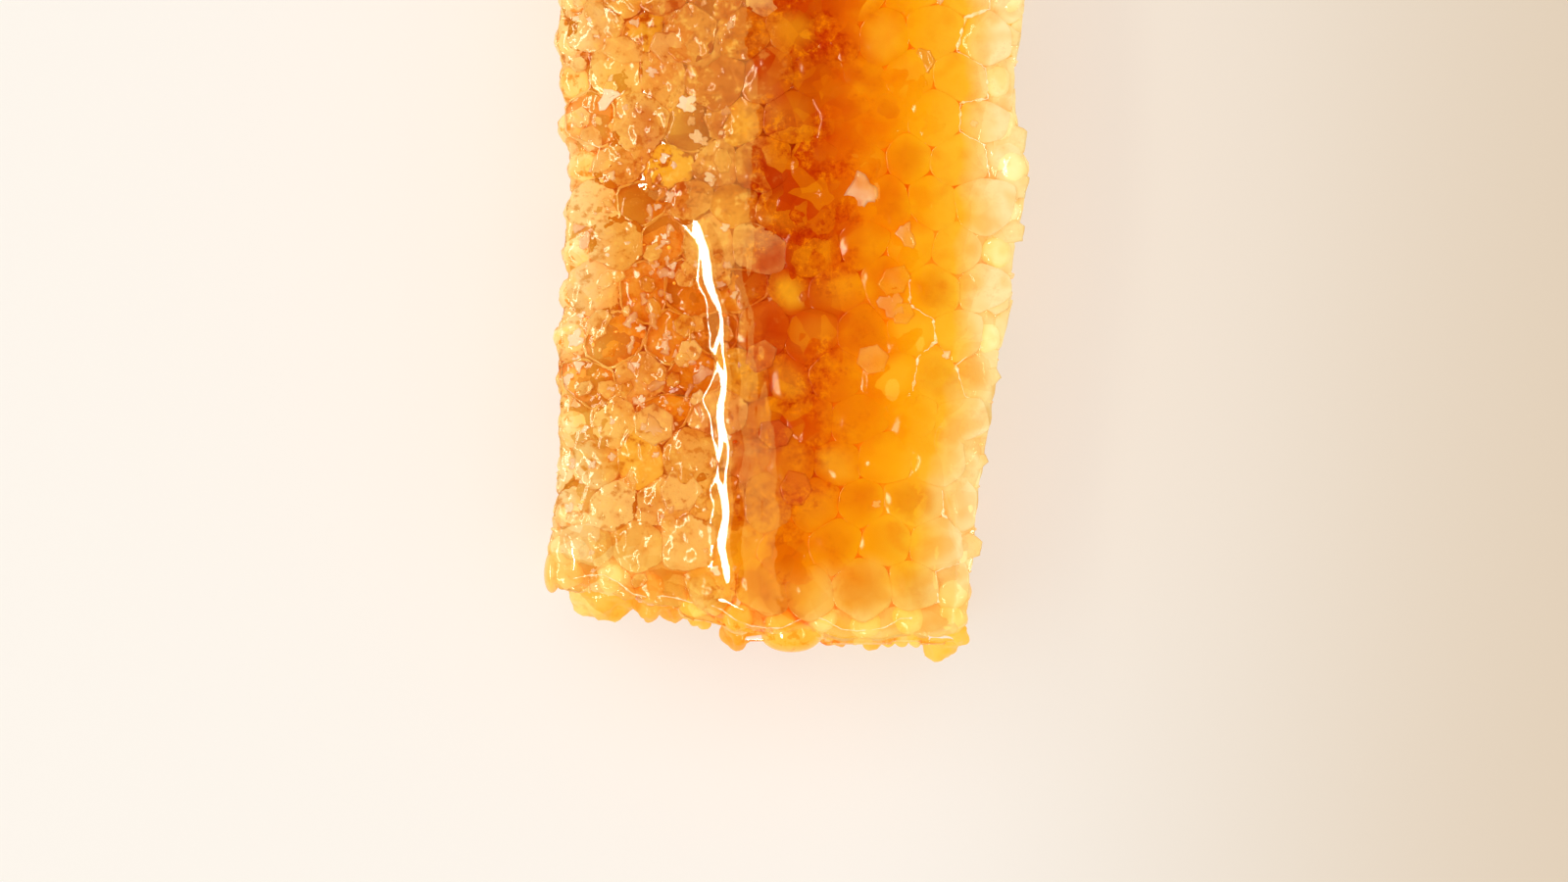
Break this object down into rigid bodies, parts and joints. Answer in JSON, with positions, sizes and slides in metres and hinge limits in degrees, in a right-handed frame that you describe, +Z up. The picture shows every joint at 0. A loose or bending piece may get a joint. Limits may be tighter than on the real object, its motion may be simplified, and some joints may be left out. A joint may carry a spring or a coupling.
{
  "type": "honeycomb piece",
  "caption": "Cut piece of natural honeycomb lying on its back face, capped and opened wax cells on both faces, cut sides and a ragged foot.",
  "frame": {"origin": "middle of the base of the piece's box, on the plane that its back face rests on", "axes": "+X across the piece, +Y from its foot to its head, +Z up through its thickness, out of the shown face"},
  "size_m": [0.0524, 0.0974, 0.026],
  "materials": {
    "comb": "gloss"
  },
  "bodies": {
    "root": {"comb": "comb"}
  },
  "joints": []
}
